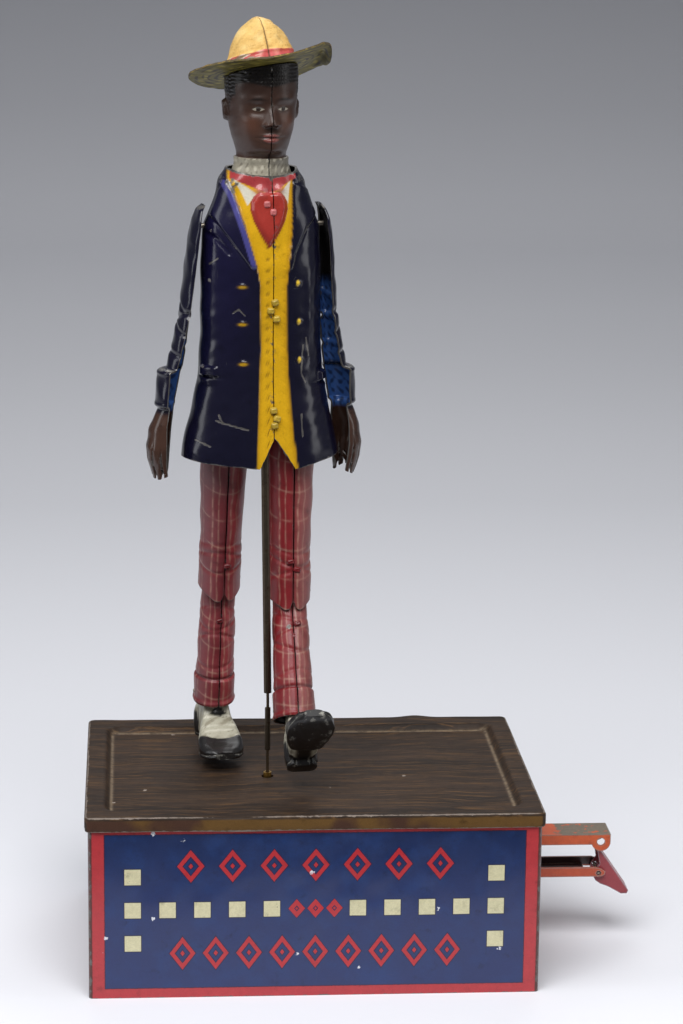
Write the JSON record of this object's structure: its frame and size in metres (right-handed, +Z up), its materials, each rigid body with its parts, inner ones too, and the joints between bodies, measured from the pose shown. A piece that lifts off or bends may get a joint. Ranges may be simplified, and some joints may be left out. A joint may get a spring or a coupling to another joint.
{
  "type": "clockwork dancing figure toy",
  "caption": "Lithographed tin figure with jointed limbs that hangs on a rod over a clockwork stage box with a squeeze handle.",
  "frame": {"origin": "centre of the underside of the stage box", "axes": "X to the right towards the squeeze handle, -Y the front panel, +Z up"},
  "size_m": [0.1514, 0.0971, 0.255],
  "materials": {
    "blue_tin": "navy lithographed tin",
    "brown_tin": "wood-grain lithographed tin",
    "maroon_tin": "maroon lacquered tin",
    "orange_tin": "worn orange paint",
    "red_tin": "worn red paint",
    "coat_tin": "blue-black lithographed tin",
    "trouser_tin": "red plaid lithographed tin",
    "shoe_tin": "grey and black lithographed tin",
    "head_tin": "brown lithographed tin",
    "straw_tin": "straw-yellow lithographed tin",
    "steel": "bare sheet and wire",
    "dark_steel": "darkened steel",
    "brass": "plain brass"
  },
  "bodies": {
    "stage_box": {"front_panel": "blue_tin", "back_panel": "blue_tin", "left_side_panel": "maroon_tin", "right_side_panel": "maroon_tin", "bottom_plate": "steel", "stage_lid": "brown_tin", "movement_plate_front": "brass", "movement_plate_back": "brass", "plate_pillar_1": "brass", "plate_pillar_2": "brass", "plate_pillar_3": "brass", "plate_pillar_4": "brass", "mainspring": "dark_steel", "guide_bracket": "steel", "rod_guide": "brass", "lever_bracket": "steel", "lever_pivot_pin": "steel", "fixed_arm": "orange_tin", "fixed_arm_rivet": "steel", "brake_spring": "dark_steel"},
    "great_wheel_body": {"great_wheel": "brass", "click_pawl": "steel"},
    "winding_body": {"winding_arbor": "steel", "ratchet_wheel": "steel", "winding_key": "steel"},
    "second_body": {"second_arbor": "steel", "second_wheel": "brass"},
    "cam_body": {"cam_arbor": "steel", "cam_wheel": "steel", "brake_drum": "brass"},
    "lever_body": {"squeeze_lever": "orange_tin", "brake_shoe": "dark_steel", "catch_pin": "steel"},
    "catch_body": {"lever_catch": "red_tin"},
    "dancer_body": {"dance_rod": "steel", "rod_foot": "dark_steel", "rod_sleeve": "dark_steel", "hanger_tube": "dark_steel", "torso_left": "coat_tin", "torso_right": "coat_tin", "head_left": "head_tin", "head_right": "head_tin", "hat_crown": "straw_tin", "hat_brim": "straw_tin", "hip_pin": "steel", "shoulder_pin_left": "steel", "shoulder_pin_right": "steel"},
    "left_arm_body": {"left_arm": "coat_tin"},
    "right_arm_body": {"right_arm": "coat_tin"},
    "left_thigh_body": {"left_thigh": "trouser_tin", "left_knee_pin": "steel"},
    "right_thigh_body": {"right_thigh": "trouser_tin", "right_knee_pin": "steel"},
    "left_shin_body": {"left_shin": "trouser_tin", "left_ankle_pin": "steel"},
    "right_shin_body": {"right_shin": "trouser_tin", "right_ankle_pin": "steel"},
    "left_shoe_body": {"left_shoe": "shoe_tin"},
    "right_shoe_body": {"right_shoe": "shoe_tin"}
  },
  "joints": [
    {"name": "train_run", "type": "hinge", "parent": "stage_box", "child": "great_wheel_body", "pos_m": [-0.036, 0.014, 0.024], "axis": [0, 1, 0], "continuous": true},
    {"name": "key_wind", "type": "hinge", "parent": "great_wheel_body", "child": "winding_body", "pos_m": [-0.036, 0.014, 0.024], "axis": [0, 1, 0], "continuous": true},
    {"name": "second_spin", "type": "hinge", "parent": "stage_box", "child": "second_body", "pos_m": [-0.02187, 0.008, 0.01738], "axis": [0, 1, 0], "continuous": true},
    {"name": "cam_spin", "type": "hinge", "parent": "stage_box", "child": "cam_body", "pos_m": [-0.0111, -0.0053, 0.026], "axis": [0, 1, 0], "continuous": true},
    {"name": "handle_squeeze", "type": "hinge", "parent": "stage_box", "child": "lever_body", "pos_m": [0.03, 0, 0.0195], "axis": [0, -1, 0], "range_deg": [0, 4]},
    {"name": "catch_turn", "type": "hinge", "parent": "lever_body", "child": "catch_body", "pos_m": [0.0818, 0, 0.0192], "axis": [0, 1, 0], "range_deg": [0, 45]},
    {"name": "rod_bob", "type": "slide", "parent": "stage_box", "child": "dancer_body", "axis": [0, 0, 1], "range_m": [0, 0.003]},
    {"name": "left_shoulder", "type": "hinge", "parent": "dancer_body", "child": "left_arm_body", "pos_m": [-0.02861, 0.00202, 0.2], "axis": [-0.9816, -0.1908, 0], "range_deg": [-35, 60]},
    {"name": "right_shoulder", "type": "hinge", "parent": "dancer_body", "child": "right_arm_body", "pos_m": [0.00201, 0.00798, 0.2], "axis": [-0.9816, -0.1908, 0], "range_deg": [-35, 60]},
    {"name": "left_hip", "type": "hinge", "parent": "dancer_body", "child": "left_thigh_body", "pos_m": [-0.02265, 0.00519, 0.1477], "axis": [-0.9962, -0.0872, 0], "range_deg": [-3, 30]},
    {"name": "right_hip", "type": "hinge", "parent": "dancer_body", "child": "right_thigh_body", "pos_m": [-0.00472, 0.00675, 0.1477], "axis": [-0.9962, -0.0872, 0], "range_deg": [-20, 16]},
    {"name": "left_knee", "type": "hinge", "parent": "left_thigh_body", "child": "left_shin_body", "pos_m": [-0.02353, 0.01523, 0.10026], "axis": [-0.9962, -0.0872, 0], "range_deg": [-30, 18]},
    {"name": "right_knee", "type": "hinge", "parent": "right_thigh_body", "child": "right_shin_body", "pos_m": [-0.00443, 0.00338, 0.09932], "axis": [-0.9962, -0.0872, 0], "range_deg": [-40, 0]},
    {"name": "left_ankle", "type": "hinge", "parent": "left_shin_body", "child": "left_shoe_body", "pos_m": [-0.02379, 0.01814, 0.06689], "axis": [-0.9962, -0.0872, 0], "range_deg": [-5, 14]},
    {"name": "right_ankle", "type": "hinge", "parent": "right_shin_body", "child": "right_shoe_body", "pos_m": [-0.0031, -0.01177, 0.06947], "axis": [-0.9962, -0.0872, 0], "range_deg": [-24, 0]}
  ],
  "couplings": [
    {"joint": "second_spin", "follows": "train_run", "ratio": -4.2},
    {"joint": "cam_spin", "follows": "train_run", "ratio": 15.12}
  ]
}
